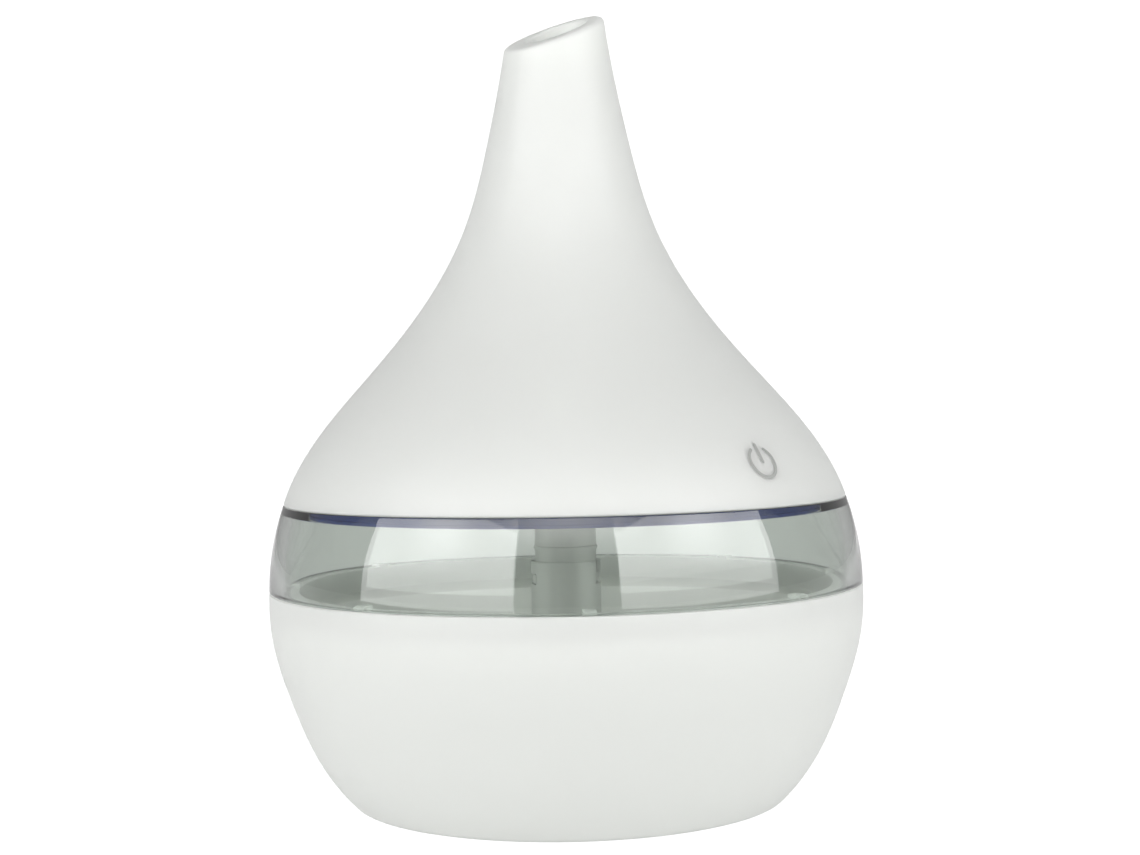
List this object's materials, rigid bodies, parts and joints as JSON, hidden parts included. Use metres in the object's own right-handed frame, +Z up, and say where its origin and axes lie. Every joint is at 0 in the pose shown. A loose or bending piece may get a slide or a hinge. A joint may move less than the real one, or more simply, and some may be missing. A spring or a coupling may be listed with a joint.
{
  "type": "cool mist humidifier",
  "caption": "Teardrop desk humidifier with a white tank bowl, a clear water band, a lift-off head with an oblique spout, and a spring-loaded wick under a vibrating mesh disc.",
  "frame": {"origin": "middle of the rest face under the base pads, on the body's axis of revolution", "axes": "+Z up along the body's axis, -Y towards the touch key, +Y towards the supply socket, +X towards the spout's high side"},
  "size_m": [0.107, 0.107, 0.1425],
  "materials": {
    "white_shell": "gloss",
    "clear_plastic": "clear gloss",
    "white_silicone": "satin",
    "pad_rubber": "matt",
    "grey_ink": "matt print",
    "copper_foil": "satin",
    "wire_insulation": "satin",
    "inner_plastic": "satin",
    "navy_silicone": "satin",
    "clear_lens": "clear",
    "steel": "bright",
    "piezo_ceramic": "matt",
    "board_laminate": "satin",
    "chip_black": "matt",
    "ferrite": "matt",
    "can_aluminium": "satin",
    "light_resin": "satin",
    "cotton": "felted"
  },
  "bodies": {
    "tank": {"lower_bowl": "white_shell", "clear_band": "clear_plastic", "tank_seal": "white_silicone", "base_pads": "pad_rubber"},
    "head": {"top_cover": "white_shell", "power_symbol": "grey_ink", "touch_electrode": "copper_foil", "touch_lead": "wire_insulation", "core_plate": "inner_plastic", "seal_ring": "navy_silicone", "light_lenses": "clear_lens", "mist_duct": "inner_plastic", "mesh_plate": "steel", "piezo_ring": "piezo_ceramic", "atomizer_grommet": "white_silicone", "atomizer_retainer": "inner_plastic", "disc_leads": "wire_insulation", "main_board": "board_laminate", "usb_jack": "steel", "control_chip": "chip_black", "boost_inductor": "ferrite", "capacitors": "can_aluminium", "chip_parts": "chip_black", "status_lights": "light_resin", "cover_screws": "steel", "board_screws": "steel", "retainer_screws": "steel"},
    "wick_holder": {"wick_tube": "inner_plastic", "tube_cap": "inner_plastic", "wick_spring": "steel"},
    "wick": {"cotton_wick": "cotton"}
  },
  "joints": [
    {"name": "head_lift", "type": "slide", "parent": "tank", "child": "head", "axis": [0, 0, 1], "range_m": [0, 0.06]},
    {"name": "wick_tube_twist", "type": "hinge", "parent": "head", "child": "wick_holder", "pos_m": [0, 0, 0.0397], "axis": [0, 0, 1], "range_deg": [0, 40]},
    {"name": "wick_press", "type": "slide", "parent": "wick_holder", "child": "wick", "axis": [0, 0, 1], "range_m": [-0.004, 0], "stiffness_N_per_m": 60, "springref_m": 0.004, "deforming": ["wick_spring"]}
  ]
}
